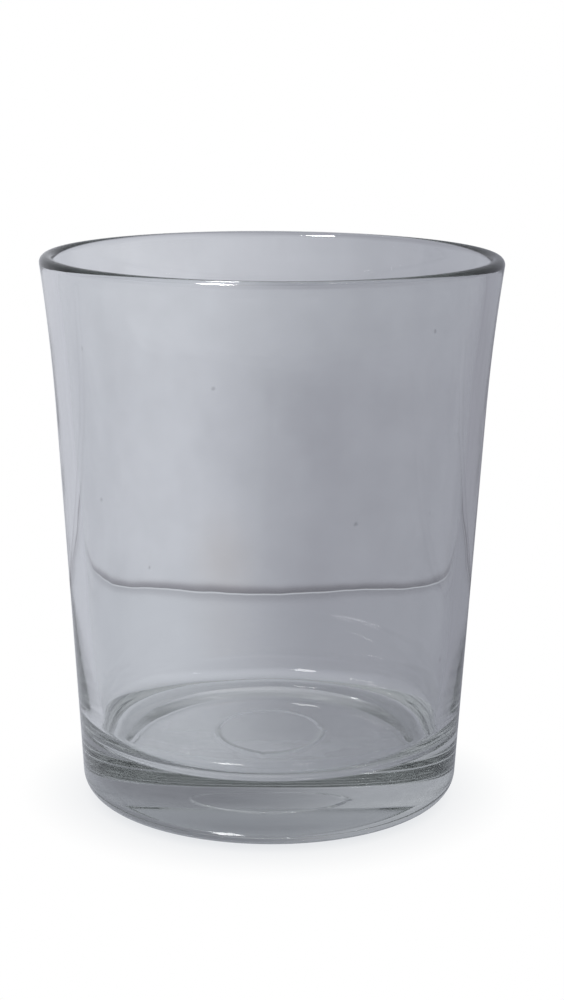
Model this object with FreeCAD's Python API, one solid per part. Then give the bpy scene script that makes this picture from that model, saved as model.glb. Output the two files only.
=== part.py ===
import FreeCAD, Part
import os
import math

# Empty candle jar: one pressed clear-glass tumbler with a heavy base.
# Frame: origin at the centre of the base where the jar rests, +Z up its axis.
# All sizes in millimetres.

os.makedirs("parts", exist_ok=True)

# ---- driving dimensions ----
jar_height = 95.2
base_side_radius = 33.2      # outside radius of the side at the side level below
base_side_level = 5.5        # level at which that radius is stated
side_slope = 0.0609          # gain in outside radius per millimetre of height
flare_start = 68.0           # level where the straight side turns outwards
flare_radius = 340.0         # radius of the turned-out band below the rim
rim_wall = 2.5               # wall at the rim, closed by a full round lip
middle_wall = 2.8            # wall just above the waist level
waist_level = 35.0           # below this level the inside wall leans inwards
corner_lean = 0.6            # extra wall gained between the waist and the corner
corner_top = 16.0            # level where the inside wall meets the corner round
corner_width = 3.8           # how far the corner round reaches inwards
floor_edge = 11.0            # inside floor level at the foot of the corner round
floor_crown = 2.9            # how much higher the inside floor is at the middle
heel_radius = 4.2            # round between the side and the resting ring
bearing_inner = 25.0         # inner radius of the flat resting ring
push_up = 1.8                # height of the hollow under the base at the middle
mark_radius = 8.8            # centre radius of the mould valve mark under the base
mark_wire = 0.45             # radius of the groove section of that mark
mark_depth = 0.22            # depth of that groove in the hollow's surface


def at(radius, level):
    """Point of the half section: distance from the axis, height."""
    return FreeCAD.Vector(radius, 0.0, level)


def line(a, b):
    return Part.LineSegment(a, b).toShape()


def arc(a, b, c):
    return Part.Arc(a, b, c).toShape()


def outside_radius(level):
    """Outside radius of the jar's side at a level, without heel and lip."""
    radius = base_side_radius + side_slope * (level - base_side_level)
    if level > flare_start:
        rise = level - flare_start
        radius += flare_radius - math.sqrt(flare_radius ** 2 - rise ** 2)
    return radius


def wall_at(level):
    """Wall thickness measured across the axis."""
    if level >= waist_level:
        share = (level - waist_level) / (lip_level - waist_level)
        return middle_wall + (rim_wall - middle_wall) * share
    share = (waist_level - level) / (waist_level - corner_top)
    return middle_wall + corner_lean * share ** 2


def inside_radius(level):
    return outside_radius(level) - wall_at(level)


lip_radius = rim_wall / 2.0
lip_level = jar_height - lip_radius

# ---- underside: shallow hollow, flat resting ring, heel round ----
hollow_radius = (bearing_inner ** 2 + push_up ** 2) / (2.0 * push_up)
hollow_centre = push_up - hollow_radius


def hollow_level(radius):
    return hollow_centre + math.sqrt(hollow_radius ** 2 - radius ** 2)


side_angle = math.atan(side_slope)
heel_contact = heel_radius * math.cos(side_angle)
heel_drop = heel_radius * math.sin(side_angle)
heel_end_level = heel_radius - heel_drop
heel_centre = outside_radius(heel_end_level) - heel_contact
heel_middle_angle = -(math.pi / 2.0 + side_angle) / 2.0
heel_end = at(heel_centre + heel_contact, heel_end_level)
heel_middle = at(heel_centre + heel_radius * math.cos(heel_middle_angle),
                 heel_radius + heel_radius * math.sin(heel_middle_angle))

edges = []
edges.append(arc(at(0.0, push_up),
                 at(bearing_inner / 2.0, hollow_level(bearing_inner / 2.0)),
                 at(bearing_inner, 0.0)))
edges.append(line(at(bearing_inner, 0.0), at(heel_centre, 0.0)))
edges.append(arc(at(heel_centre, 0.0), heel_middle, heel_end))

# ---- outside wall: straight side, then the turned-out band ----
flare_middle = (flare_start + lip_level) / 2.0
edges.append(line(heel_end, at(outside_radius(flare_start), flare_start)))
edges.append(arc(at(outside_radius(flare_start), flare_start),
                 at(outside_radius(flare_middle), flare_middle),
                 at(outside_radius(lip_level), lip_level)))

# ---- full round lip ----
edges.append(arc(at(outside_radius(lip_level), lip_level),
                 at(outside_radius(lip_level) - lip_radius, jar_height),
                 at(inside_radius(lip_level), lip_level)))

# ---- inside wall ----
edges.append(arc(at(inside_radius(lip_level), lip_level),
                 at(inside_radius(flare_middle), flare_middle),
                 at(inside_radius(flare_start), flare_start)))
edges.append(line(at(inside_radius(flare_start), flare_start),
                  at(inside_radius(waist_level), waist_level)))
lean_middle = (waist_level + corner_top) / 2.0
edges.append(arc(at(inside_radius(waist_level), waist_level),
                 at(inside_radius(lean_middle), lean_middle),
                 at(inside_radius(corner_top), corner_top)))

# ---- inside corner and crowned floor ----
corner_radius = inside_radius(corner_top)
floor_radius = corner_radius - corner_width
corner_height = corner_top - floor_edge
corner_middle = at(floor_radius + corner_width * math.cos(math.pi / 4.0),
                   corner_top - corner_height * math.sin(math.pi / 4.0))
edges.append(arc(at(corner_radius, corner_top),
                 corner_middle,
                 at(floor_radius, floor_edge)))
crown_radius = (floor_radius ** 2 + floor_crown ** 2) / (2.0 * floor_crown)
crown_centre = floor_edge + floor_crown - crown_radius
half_floor = floor_radius / 2.0
half_floor_level = crown_centre + math.sqrt(crown_radius ** 2 - half_floor ** 2)
edges.append(arc(at(floor_radius, floor_edge),
                 at(half_floor, half_floor_level),
                 at(0.0, floor_edge + floor_crown)))
edges.append(line(at(0.0, floor_edge + floor_crown), at(0.0, push_up)))

section = Part.Face(Part.Wire(edges))
axis_foot = FreeCAD.Vector(0.0, 0.0, 0.0)
axis_up = FreeCAD.Vector(0.0, 0.0, 1.0)
glass_jar = section.revolve(axis_foot, axis_up, 360.0)

# ---- mould valve mark: a fine groove round the middle of the hollow ----
mark_level = hollow_level(mark_radius) - mark_wire + mark_depth
mark_ring = Part.makeTorus(mark_radius, mark_wire,
                           FreeCAD.Vector(0.0, 0.0, mark_level), axis_up)
glass_jar = glass_jar.cut(mark_ring)
glass_jar = glass_jar.Solids[0]

glass_jar.exportStep("parts/glass_jar.step")

print("valid:", glass_jar.isValid(), "closed:", glass_jar.Shells[0].isClosed())
box = glass_jar.optimalBoundingBox()
print("size mm:", round(box.XLength, 2), round(box.YLength, 2), round(box.ZLength, 2))
print("bottom level:", round(box.ZMin, 4))
print("volume cm3:", round(glass_jar.Volume / 1000.0, 1))
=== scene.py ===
"""Looks for the empty candle jar: one clear pressed-glass tumbler on a pale floor.

Names that end in _MM are millimetres; everything handed to Blender is in metres.
"""

import math

import bpy
from mathutils import Matrix, Vector


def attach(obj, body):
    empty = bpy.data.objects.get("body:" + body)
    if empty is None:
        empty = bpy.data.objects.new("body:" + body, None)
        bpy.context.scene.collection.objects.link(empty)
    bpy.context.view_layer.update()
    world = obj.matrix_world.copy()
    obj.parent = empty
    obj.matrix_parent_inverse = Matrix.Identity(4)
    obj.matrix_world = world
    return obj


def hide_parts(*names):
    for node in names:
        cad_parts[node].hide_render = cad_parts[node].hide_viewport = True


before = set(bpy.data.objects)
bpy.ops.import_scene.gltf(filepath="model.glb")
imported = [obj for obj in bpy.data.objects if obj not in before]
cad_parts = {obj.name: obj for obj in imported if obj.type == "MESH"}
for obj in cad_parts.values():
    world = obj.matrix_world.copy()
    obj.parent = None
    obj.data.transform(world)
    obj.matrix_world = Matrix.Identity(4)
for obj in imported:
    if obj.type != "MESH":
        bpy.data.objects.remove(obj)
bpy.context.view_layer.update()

# ---------------------------------------------------------------- the jar's half section
HEIGHT_MM = 95.2
SIDE_RADIUS_MM, SIDE_LEVEL_MM, SIDE_SLOPE = 33.2, 5.5, 0.0609
FLARE_START_MM, FLARE_RADIUS_MM = 68.0, 340.0
RIM_WALL_MM, MIDDLE_WALL_MM = 2.5, 2.8
WAIST_MM, CORNER_LEAN_MM = 35.0, 0.6
CORNER_TOP_MM, CORNER_WIDTH_MM = 16.0, 3.8
FLOOR_EDGE_MM, FLOOR_CROWN_MM = 11.0, 2.9
HEEL_MM, BEARING_INNER_MM, PUSH_UP_MM = 4.2, 25.0, 1.8
LIP_MM = RIM_WALL_MM / 2.0
LIP_LEVEL_MM = HEIGHT_MM - LIP_MM

# the valve mark under the base, and the two places where its ring strays outwards
MARK_RADIUS_MM, MARK_WIDTH_MM, MARK_DEPTH_MM = 8.8, 0.28, 0.27
MARK_INNER_MM, MARK_OUTER_MM = MARK_RADIUS_MM - 1.0, MARK_RADIUS_MM + 1.4
MARK_DEEPEST = math.radians(-60.0)
NICK_FRONT_MM, NICK_FRONT_AT, NICK_FRONT_WIDE = 0.28, math.radians(-97.0), 0.055
NICK_RIGHT_MM, NICK_RIGHT_AT, NICK_RIGHT_WIDE = 0.42, math.radians(4.0), 0.075

# unevenness of the pressed glass, and how fast it fades towards lip, corner and heel
INNER_WAVE_MM, OUTER_WAVE_MM, FLOOR_WAVE_MM = 0.035, 0.010, 0.030
LIP_FADE_MM, CORNER_FADE_MM, HEEL_FADE_MM = 12.0, 8.0, 12.0
OUTER_TURN, OUTER_STRETCH = 1.3, 0.8
FLOOR_WAVE_LEVEL_MM, FLOOR_WAVE_RADIUS_MM, FLOOR_WAVE_END_MM = 20.0, 26.0, 27.0

# how finely each zone of the half section is cut
AROUND = 256
MIDDLE_STEPS, MARK_STEPS, HOLLOW_STEPS, BEARING_STEPS = 10, 34, 22, 4
ROUND_STEPS, SIDE_STEPS, LIP_STEPS, FLOOR_STEPS = 16, 56, 28, 34


def outside(z):
    r = SIDE_RADIUS_MM + SIDE_SLOPE * (z - SIDE_LEVEL_MM)
    if z > FLARE_START_MM:
        r += FLARE_RADIUS_MM - math.sqrt(FLARE_RADIUS_MM ** 2 - (z - FLARE_START_MM) ** 2)
    return r


def inside(z):
    if z >= WAIST_MM:
        share = (z - WAIST_MM) / (LIP_LEVEL_MM - WAIST_MM)
        return outside(z) - MIDDLE_WALL_MM - (RIM_WALL_MM - MIDDLE_WALL_MM) * share
    share = (WAIST_MM - z) / (WAIST_MM - CORNER_TOP_MM)
    return outside(z) - MIDDLE_WALL_MM - CORNER_LEAN_MM * share ** 2


def cap(r, half_width, rise):
    """Height of a shallow spherical cap of that half width and rise, at radius r."""
    ball = (half_width ** 2 + rise ** 2) / (2.0 * rise)
    return rise - ball + math.sqrt(ball ** 2 - r ** 2)


def steps(a, b, n):
    """n values after a, up to and including b."""
    return [a + (b - a) * (i + 1) / n for i in range(n)]


def half_section():
    """(radius, level, zone) from the axis under the base, up the outside, over the lip and
    down the inside to the axis again."""
    pts = [(0.0, PUSH_UP_MM, "under")]
    for r in (steps(0.0, MARK_INNER_MM, MIDDLE_STEPS)
              + steps(MARK_INNER_MM, MARK_OUTER_MM, MARK_STEPS)
              + steps(MARK_OUTER_MM, BEARING_INNER_MM, HOLLOW_STEPS)):
        pts.append((r, cap(r, BEARING_INNER_MM, PUSH_UP_MM), "under"))
    tilt = math.atan(SIDE_SLOPE)
    heel_end = HEEL_MM * (1.0 - math.sin(tilt))
    heel_x = outside(heel_end) - HEEL_MM * math.cos(tilt)
    for r in steps(BEARING_INNER_MM, heel_x, BEARING_STEPS):
        pts.append((r, 0.0, "bearing"))
    for a in steps(-90.0, -math.degrees(tilt), ROUND_STEPS):
        a = math.radians(a)
        pts.append((heel_x + HEEL_MM * math.cos(a), HEEL_MM * (1.0 + math.sin(a)), "heel"))
    for z in steps(heel_end, LIP_LEVEL_MM, SIDE_STEPS):
        pts.append((outside(z), z, "outer"))
    lip_x = outside(LIP_LEVEL_MM) - LIP_MM
    for a in steps(0.0, 180.0, LIP_STEPS):
        a = math.radians(a)
        pts.append((lip_x + LIP_MM * math.cos(a), LIP_LEVEL_MM + LIP_MM * math.sin(a), "lip"))
    for z in steps(LIP_LEVEL_MM, CORNER_TOP_MM, SIDE_STEPS):
        pts.append((inside(z), z, "inner"))
    corner_x = inside(CORNER_TOP_MM) - CORNER_WIDTH_MM
    drop = CORNER_TOP_MM - FLOOR_EDGE_MM
    for a in steps(0.0, 90.0, ROUND_STEPS):
        a = math.radians(a)
        pts.append((corner_x + CORNER_WIDTH_MM * math.cos(a),
                    CORNER_TOP_MM - drop * math.sin(a), "corner"))
    for r in steps(corner_x, 0.0, FLOOR_STEPS):
        pts.append((r, FLOOR_EDGE_MM + cap(r, corner_x, FLOOR_CROWN_MM), "floor"))
    return pts


def ripple(angle, z):
    """Slow unevenness of pressed glass, about -1 to 1: the plunger side is never quite true."""
    return (0.40 * math.sin(3 * angle + 0.7 + 0.045 * z)
            + 0.30 * math.sin(7 * angle - 1.9 - 0.090 * z)
            + 0.20 * math.sin(13 * angle + 2.4 + 0.160 * z)
            + 0.10 * math.sin(0.55 * z + 4 * angle))


def near_angle(angle, at, wide):
    """1 at that angle, falling softly to 0 within a few times the width."""
    return math.exp(-(math.remainder(angle - at, 2.0 * math.pi) / wide) ** 2)


def mark_rise(r, angle):
    """The valve mark: a fine groove round the middle, uneven in depth, that strays outwards
    at two places."""
    centre = (MARK_RADIUS_MM
              + NICK_FRONT_MM * near_angle(angle, NICK_FRONT_AT, NICK_FRONT_WIDE)
              + NICK_RIGHT_MM * near_angle(angle, NICK_RIGHT_AT, NICK_RIGHT_WIDE))
    depth = MARK_DEPTH_MM * (0.72 + 0.28 * math.cos(angle - MARK_DEEPEST))
    return depth * math.exp(-((r - centre) / MARK_WIDTH_MM) ** 2)


def uneven(r, z, zone, angle):
    """A point of the half section moved the little that its zone is out of true."""
    if zone == "inner":
        fade = min(1.0, (LIP_LEVEL_MM - z) / LIP_FADE_MM)
        fade *= min(1.0, (z - CORNER_TOP_MM) / CORNER_FADE_MM)
        r += INNER_WAVE_MM * fade * ripple(angle, z)
    elif zone == "outer":
        fade = min(1.0, (LIP_LEVEL_MM - z) / LIP_FADE_MM)
        fade *= min(1.0, max(0.0, z - HEEL_MM) / HEEL_FADE_MM)
        r -= OUTER_WAVE_MM * fade * (1.0 + ripple(angle + OUTER_TURN, z * OUTER_STRETCH))
    elif zone == "floor":
        fade = (r / FLOOR_WAVE_RADIUS_MM) ** 2 * (1.0 - r / FLOOR_WAVE_END_MM)
        z += FLOOR_WAVE_MM * fade * ripple(angle, FLOOR_WAVE_LEVEL_MM)
    elif zone == "under":
        z += mark_rise(r, angle)
    return r, z


def mesh_object(name, verts, faces):
    mesh = bpy.data.meshes.new(name)
    mesh.from_pydata(verts, [], faces)
    obj = bpy.data.objects.new(name, mesh)
    bpy.context.scene.collection.objects.link(obj)
    return obj


def lathe(name):
    verts, rings = [], []
    for r, z, zone in half_section():
        if r < 1e-6:
            rings.append([len(verts)])
            verts.append((0.0, 0.0, z / 1000.0))
            continue
        rings.append(range(len(verts), len(verts) + AROUND))
        for k in range(AROUND):
            a = 2.0 * math.pi * k / AROUND
            rr, zz = uneven(r, z, zone, a)
            verts.append((rr * math.cos(a) / 1000.0, rr * math.sin(a) / 1000.0, zz / 1000.0))
    faces = []
    for low, high in zip(rings, rings[1:]):
        for k in range(AROUND):
            n = (k + 1) % AROUND
            if len(low) == 1:
                faces.append((low[0], high[n], high[k]))
            elif len(high) == 1:
                faces.append((low[k], low[n], high[0]))
            else:
                faces.append((low[k], low[n], high[n], high[k]))
    obj = mesh_object(name, verts, faces)
    obj.data.polygons.foreach_set("use_smooth", [True] * len(faces))
    return obj


# ---------------------------------------------------------------- node helpers
WHITE = (1.0, 1.0, 1.0, 1.0)


def srgb(*levels):
    """0-255 display levels to a linear colour."""
    out = []
    for v in levels:
        v = v / 255.0
        out.append(v / 12.92 if v <= 0.04045 else ((v + 0.055) / 1.055) ** 2.4)
    return (*out, 1.0)


def feed(tree, socket, value):
    """Link an output to the socket, or set the socket to a plain value."""
    if isinstance(value, bpy.types.NodeSocket):
        tree.links.new(value, socket)
    else:
        socket.default_value = value


def span(tree, value, from_min, from_max, to_min=0.0, to_max=1.0, smooth=False):
    node = tree.nodes.new("ShaderNodeMapRange")
    if smooth:
        node.interpolation_type = "SMOOTHSTEP"
    node.inputs["From Min"].default_value = from_min
    node.inputs["From Max"].default_value = from_max
    node.inputs["To Min"].default_value = to_min
    node.inputs["To Max"].default_value = to_max
    tree.links.new(value, node.inputs["Value"])
    return node.outputs["Result"]


def noise(tree, where, scale, detail=2.0, roughness=0.5):
    node = tree.nodes.new("ShaderNodeTexNoise")
    node.inputs["Scale"].default_value = scale
    node.inputs["Detail"].default_value = detail
    node.inputs["Roughness"].default_value = roughness
    tree.links.new(where, node.inputs["Vector"])
    return node.outputs["Fac"]


def mixed(tree, factor, a, b, blend="MIX"):
    node = tree.nodes.new("ShaderNodeMix")
    node.data_type = "RGBA"
    node.blend_type = blend
    feed(tree, node.inputs["Factor"], factor)
    feed(tree, node.inputs["A"], a)
    feed(tree, node.inputs["B"], b)
    return node.outputs["Result"]


def scaled(tree, vector, factor):
    node = tree.nodes.new("ShaderNodeVectorMath")
    node.operation = "SCALE"
    tree.links.new(vector, node.inputs[0])
    tree.links.new(factor, node.inputs["Scale"])
    return node.outputs["Vector"]


def ramp(tree, value, stops, interpolation="LINEAR"):
    """Colour ramp; the stops are (place, colour), the first at 0 and the last at 1."""
    node = tree.nodes.new("ShaderNodeValToRGB")
    scale = node.color_ramp
    scale.interpolation = interpolation
    scale.elements[0].color = stops[0][1]
    scale.elements[1].color = stops[-1][1]
    for at, colour in stops[1:-1]:
        scale.elements.new(at).color = colour
    tree.links.new(value, node.inputs["Fac"])
    return node.outputs["Color"]


def position(tree):
    return tree.nodes.new("ShaderNodeNewGeometry").outputs["Position"]


def patch_distance(tree, scale, offset):
    """Distance from the middle of an oval patch, 1 at its edge."""
    local = tree.nodes.new("ShaderNodeVectorMath")
    local.operation = "MULTIPLY_ADD"
    local.inputs[1].default_value = scale
    local.inputs[2].default_value = offset
    length = tree.nodes.new("ShaderNodeVectorMath")
    length.operation = "LENGTH"
    tree.links.new(position(tree), local.inputs[0])
    tree.links.new(local.outputs["Vector"], length.inputs[0])
    return length.outputs["Value"]


def across(tree, left, right, x_left, x_right):
    """Colour that goes from left to right along X; also returns the Z of the place."""
    split = tree.nodes.new("ShaderNodeSeparateXYZ")
    tree.links.new(position(tree), split.inputs["Vector"])
    share = span(tree, split.outputs["X"], x_left, x_right, smooth=True)
    return mixed(tree, share, left, right), split.outputs["Z"]


# ---------------------------------------------------------------- the glass
GLASS_IOR = 1.51
HAZE_SCALE, HAZE_FROM, HAZE_TO, HAZE_MOST = 55.0, 0.45, 0.80, 0.022
SKIN_SCALE, SKIN_DRAW, SKIN_STRENGTH, SKIN_DISTANCE = 90.0, 0.35, 0.05, 0.0006
TINT_SCALE = 30.0
TINT_LOW, TINT_HIGH = (0.965, 0.975, 0.975, 1.0), (0.995, 0.998, 1.0, 1.0)
SEED_CELLS = 75.0                # cells per metre, with at most one seed in each
SEED_CORE, SEED_EDGE, SEED_DARK = 0.018, 0.045, 0.62
ABSORB_COLOUR, ABSORB_DENSITY = (0.80, 0.81, 0.805, 1.0), 42.0


def clear_glass():
    mat = bpy.data.materials.new("clear_glass")
    mat.use_nodes = True
    tree = mat.node_tree
    nodes, links = tree.nodes, tree.links
    shader = nodes["Principled BSDF"]
    shader.inputs["Transmission Weight"].default_value = 1.0
    shader.inputs["IOR"].default_value = GLASS_IOR
    shader.inputs["Specular IOR Level"].default_value = 0.5
    where = nodes.new("ShaderNodeTexCoord").outputs["Object"]
    # handling marks: a very faint haze in soft patches
    haze = noise(tree, where, HAZE_SCALE, 4.0, 0.55)
    haze = span(tree, haze, HAZE_FROM, HAZE_TO, 0.0, HAZE_MOST)
    links.new(haze, shader.inputs["Roughness"])
    # the skin of pressed glass: long low ripples, drawn out up the wall
    stretch = nodes.new("ShaderNodeMapping")
    stretch.inputs["Scale"].default_value = (1.0, 1.0, SKIN_DRAW)
    skin = nodes.new("ShaderNodeBump")
    skin.inputs["Strength"].default_value = SKIN_STRENGTH
    skin.inputs["Distance"].default_value = SKIN_DISTANCE
    links.new(where, stretch.inputs["Vector"])
    links.new(noise(tree, stretch.outputs["Vector"], SKIN_SCALE), skin.inputs["Height"])
    links.new(skin.outputs["Normal"], shader.inputs["Normal"])
    # a trace of tint, patchy like the melt
    tint = ramp(tree, noise(tree, where, TINT_SCALE), [(0.0, TINT_LOW), (1.0, TINT_HIGH)])
    # seeds: a few pin-point bubbles and specks, far apart
    cells = nodes.new("ShaderNodeTexVoronoi")
    cells.inputs["Scale"].default_value = SEED_CELLS
    links.new(where, cells.inputs["Vector"])
    seed = span(tree, cells.outputs["Distance"], SEED_CORE, SEED_EDGE, SEED_DARK, 1.0, smooth=True)
    links.new(scaled(tree, tint, seed), shader.inputs["Base Color"])
    # soda-lime glass goes grey in the thick base
    absorb = nodes.new("ShaderNodeVolumeAbsorption")
    absorb.inputs["Color"].default_value = ABSORB_COLOUR
    absorb.inputs["Density"].default_value = ABSORB_DENSITY
    links.new(absorb.outputs["Volume"], nodes["Material Output"].inputs["Volume"])
    return mat


jar = lathe("jar_glass")
jar.data.materials.append(clear_glass())
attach(jar, "root")
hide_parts("glass_jar")


# ---------------------------------------------------------------- stage
REACH = 3.0                      # half width of the floor and the table, height of the wall
WALL_Y = 0.1262                  # the room's wall behind the jar
WALL_BOW, BOW_ENDS = 7.5, 0.026  # how fast it bows away to the sides, per metre, and how far out
WALL_STRIP = 0.0025              # width of one flat strip of the bowed wall
WALL_STRIPS = 40                 # strips to each side of the middle
TABLE_LEVEL, FLOOR_LEVEL = -0.0002, -0.0004
TONE_LEFT, TONE_RIGHT = -0.030, 0.016      # where the room goes from light to shade
HIGH_LEFT, HIGH_RIGHT = -0.044, 0.046      # the same, high on the wall

# light that pools on the table behind the base: an oval, 1 at its edge
POOL_Y, POOL_HALF_X, POOL_HALF_Y = 0.040, 0.034, 0.012
POOL_CORE, POOL_GLOW, TABLE_GLOW = 0.4, 1.4, 1.13
TABLE_SHINE, TABLE_SHINE_ROUGHNESS = 0.5, 0.08

LIFT_FROM, LIFT_TO = 0.045, 0.080           # heights where the wall turns to its high tone
UPPER_FROM, UPPER_TO = 0.09, 0.20           # and from that to the even upper tone
MOTTLE_SCALE, MOTTLE_LOW, MOTTLE_HIGH = 70.0, 0.95, 1.05
CREASE_SHADE_HEIGHT = 0.0034             # painted shade: the dark soft line where wall and table meet
CREASE_SHADE_STOPS = [(0.0, (0.34, 0.33, 0.34, 1.0)), (0.35, (0.52, 0.50, 0.51, 1.0)),
              (0.65, (0.95, 0.945, 0.94, 1.0)), (1.0, WHITE)]
WARM_SCALE, WARM_OFFSET = (1.0 / 0.013, 0.0, 1.0 / 0.018), (1.0, 0.0, -0.45)
WARM_TINT = (1.0, 0.968, 0.935, 1.0)
CONTACT_REACH = 0.012            # how far the contact shade spreads on the pale floor


def glow_material(name):
    """An even glow of one colour; returns the material, its tree and the colour socket."""
    mat = bpy.data.materials.new(name)
    mat.use_nodes = True
    tree = mat.node_tree
    tree.nodes.clear()
    glow = tree.nodes.new("ShaderNodeEmission")
    out = tree.nodes.new("ShaderNodeOutputMaterial")
    tree.links.new(glow.outputs["Emission"], out.inputs["Surface"])
    return mat, tree, glow.inputs["Color"]


def flat_sheet(name, level, mat):
    corners = [(-REACH, -REACH, level), (REACH, -REACH, level),
               (REACH, REACH, level), (-REACH, REACH, level)]
    obj = mesh_object(name, corners, [(0, 1, 2, 3)])
    obj.data.materials.append(mat)
    return obj


def bowed_sheet(name, low, high, mat):
    """Upright sheet behind the jar, bowed away from it towards the sides."""
    foot = []
    for i in range(-WALL_STRIPS, WALL_STRIPS + 1):
        x = WALL_STRIP * i
        foot.append((x, WALL_Y + WALL_BOW * BOW_ENDS ** 2 * math.tanh((x / BOW_ENDS) ** 2)))
    end_y = foot[-1][1]
    foot = [(-REACH, end_y)] + foot + [(REACH, end_y)]
    verts = [(x, y, low) for x, y in foot] + [(x, y, high) for x, y in foot]
    n = len(foot)
    obj = mesh_object(name, verts, [(i, i + 1, n + i + 1, n + i) for i in range(n - 1)])
    obj.data.materials.append(mat)
    return obj


# the room, seen only through the glass and in its reflections
table_mat, tree, colour = glow_material("room_table")
tone, _ = across(tree, srgb(199, 202, 210), srgb(152, 154, 163), TONE_LEFT, TONE_RIGHT)
tree.links.new(tone, colour)
pool = patch_distance(tree, (1.0 / POOL_HALF_X, 1.0 / POOL_HALF_Y, 0.0),
                      (0.0, -POOL_Y / POOL_HALF_Y, 0.0))
glow = tree.nodes["Emission"]
tree.links.new(span(tree, pool, POOL_CORE, 1.0, POOL_GLOW, TABLE_GLOW, smooth=True),
               glow.inputs["Strength"])
shine = tree.nodes.new("ShaderNodeBsdfGlossy")
shine.inputs["Roughness"].default_value = TABLE_SHINE_ROUGHNESS
both = tree.nodes.new("ShaderNodeMixShader")
both.inputs["Fac"].default_value = TABLE_SHINE
tree.links.new(glow.outputs["Emission"], both.inputs[1])
tree.links.new(shine.outputs["BSDF"], both.inputs[2])
tree.links.new(both.outputs["Shader"], tree.nodes["Material Output"].inputs["Surface"])
table = flat_sheet("room_table", TABLE_LEVEL, table_mat)

wall_mat, tree, colour = glow_material("room_wall")
tone, level = across(tree, srgb(201, 203, 211), srgb(154, 155, 164), TONE_LEFT, TONE_RIGHT)
high_tone, _ = across(tree, srgb(209, 211, 218), srgb(166, 168, 177), HIGH_LEFT, HIGH_RIGHT)
tone = mixed(tree, span(tree, level, LIFT_FROM, LIFT_TO), tone, high_tone)
tone = mixed(tree, span(tree, level, UPPER_FROM, UPPER_TO), tone, srgb(172, 175, 180))
mottle = noise(tree, position(tree), MOTTLE_SCALE, 4.0, 0.6)
mottle = span(tree, mottle, 0.3, 0.7, MOTTLE_LOW, MOTTLE_HIGH)
tone = scaled(tree, tone, mottle)
# painted shade along the foot of the wall, darkest where it meets the table
foot = ramp(tree, span(tree, level, 0.0, CREASE_SHADE_HEIGHT), CREASE_SHADE_STOPS, "B_SPLINE")
tone = mixed(tree, 1.0, tone, foot, "MULTIPLY")
# a faint warm patch low on the wall, left of the middle
warm = span(tree, patch_distance(tree, WARM_SCALE, WARM_OFFSET), 0.0, 1.0, smooth=True)
tone = mixed(tree, 1.0, tone, mixed(tree, warm, WARM_TINT, WHITE), "MULTIPLY")
tree.links.new(tone, colour)
wall = bowed_sheet("room_wall", 0.0, REACH, wall_mat)
for part in (table, wall):
    part.visible_camera = False
    part.visible_shadow = False

# the pale floor that the camera sees, with a soft contact shade
floor_mat, tree, colour = glow_material("pale_floor")
near = tree.nodes.new("ShaderNodeAmbientOcclusion")
near.inputs["Distance"].default_value = CONTACT_REACH
near.samples = 8
tree.links.new(mixed(tree, near.outputs["AO"], srgb(226, 228, 231), WHITE), colour)
floor = flat_sheet("pale_floor", FLOOR_LEVEL, floor_mat)
floor.visible_transmission = False
floor.visible_glossy = False
floor.visible_diffuse = False
floor.visible_shadow = False

# white behind the jar for the camera, a softer grey for everything the glass gathers
world = bpy.data.worlds.new("studio")
bpy.context.scene.world = world
world.use_nodes = True
tree = world.node_tree
path = tree.nodes.new("ShaderNodeLightPath")
tree.links.new(mixed(tree, path.outputs["Is Camera Ray"], srgb(213, 215, 220), WHITE),
               tree.nodes["Background"].inputs["Color"])

LIGHT_TARGET = Vector((0.0, 0.0, 0.05))     # about half way up the jar


def softbox(name, azimuth, elevation, distance, side, watts):
    """A soft square light that faces the jar; azimuth is turned left from the camera's side."""
    az, el = math.radians(azimuth), math.radians(elevation)
    place = distance * Vector((-math.sin(az) * math.cos(el), -math.cos(az) * math.cos(el),
                               math.sin(el)))
    data = bpy.data.lights.new(name, "AREA")
    data.shape = "RECTANGLE"
    data.size = data.size_y = side
    data.energy = watts
    obj = bpy.data.objects.new(name, data)
    bpy.context.scene.collection.objects.link(obj)
    obj.location = place
    obj.rotation_mode = "QUATERNION"
    obj.rotation_quaternion = (LIGHT_TARGET - place).to_track_quat("-Z", "Y")
    return obj


# seen in the glass only as a reflection, so it leaves no glare inside the thick base
KEY_AZIMUTH, KEY_ELEVATION, KEY_DISTANCE, KEY_SIDE, KEY_WATTS = 38.0, 60.0, 1.0, 0.21, 11.2
key = softbox("key_softbox", KEY_AZIMUTH, KEY_ELEVATION, KEY_DISTANCE, KEY_SIDE, KEY_WATTS)
key.visible_transmission = False

# ---------------------------------------------------------------- camera
LENS_MM, SENSOR_MM = 80.2656, 36.0
CAMERA_BACK, CAMERA_UP = 0.380, 0.13710
PITCH, ROLL, YAW = 0.21984, 0.00690, 0.005161
data = bpy.data.cameras.new("camera")
data.sensor_fit = "AUTO"
data.sensor_width = SENSOR_MM
data.lens = LENS_MM
data.clip_start = 0.01
camera = bpy.data.objects.new("camera", data)
bpy.context.scene.collection.objects.link(camera)
ahead = Vector((math.sin(YAW) * math.cos(PITCH), math.cos(YAW) * math.cos(PITCH),
                -math.sin(PITCH)))
right = Vector((math.cos(YAW), -math.sin(YAW), 0.0))
up = right.cross(ahead)
x_axis = right * math.cos(ROLL) + up * math.sin(ROLL)
y_axis = up * math.cos(ROLL) - right * math.sin(ROLL)
camera.matrix_world = Matrix(((x_axis.x, y_axis.x, -ahead.x, 0.0),
                              (x_axis.y, y_axis.y, -ahead.y, -CAMERA_BACK),
                              (x_axis.z, y_axis.z, -ahead.z, CAMERA_UP),
                              (0.0, 0.0, 0.0, 1.0)))
bpy.context.scene.camera = camera

scene = bpy.context.scene
scene.view_settings.view_transform = "Standard"
# light runs a long way inside the walls and the base before it leaves the glass
BOUNCES = 256
scene.cycles.max_bounces = BOUNCES
scene.cycles.transmission_bounces = BOUNCES
scene.cycles.glossy_bounces = BOUNCES
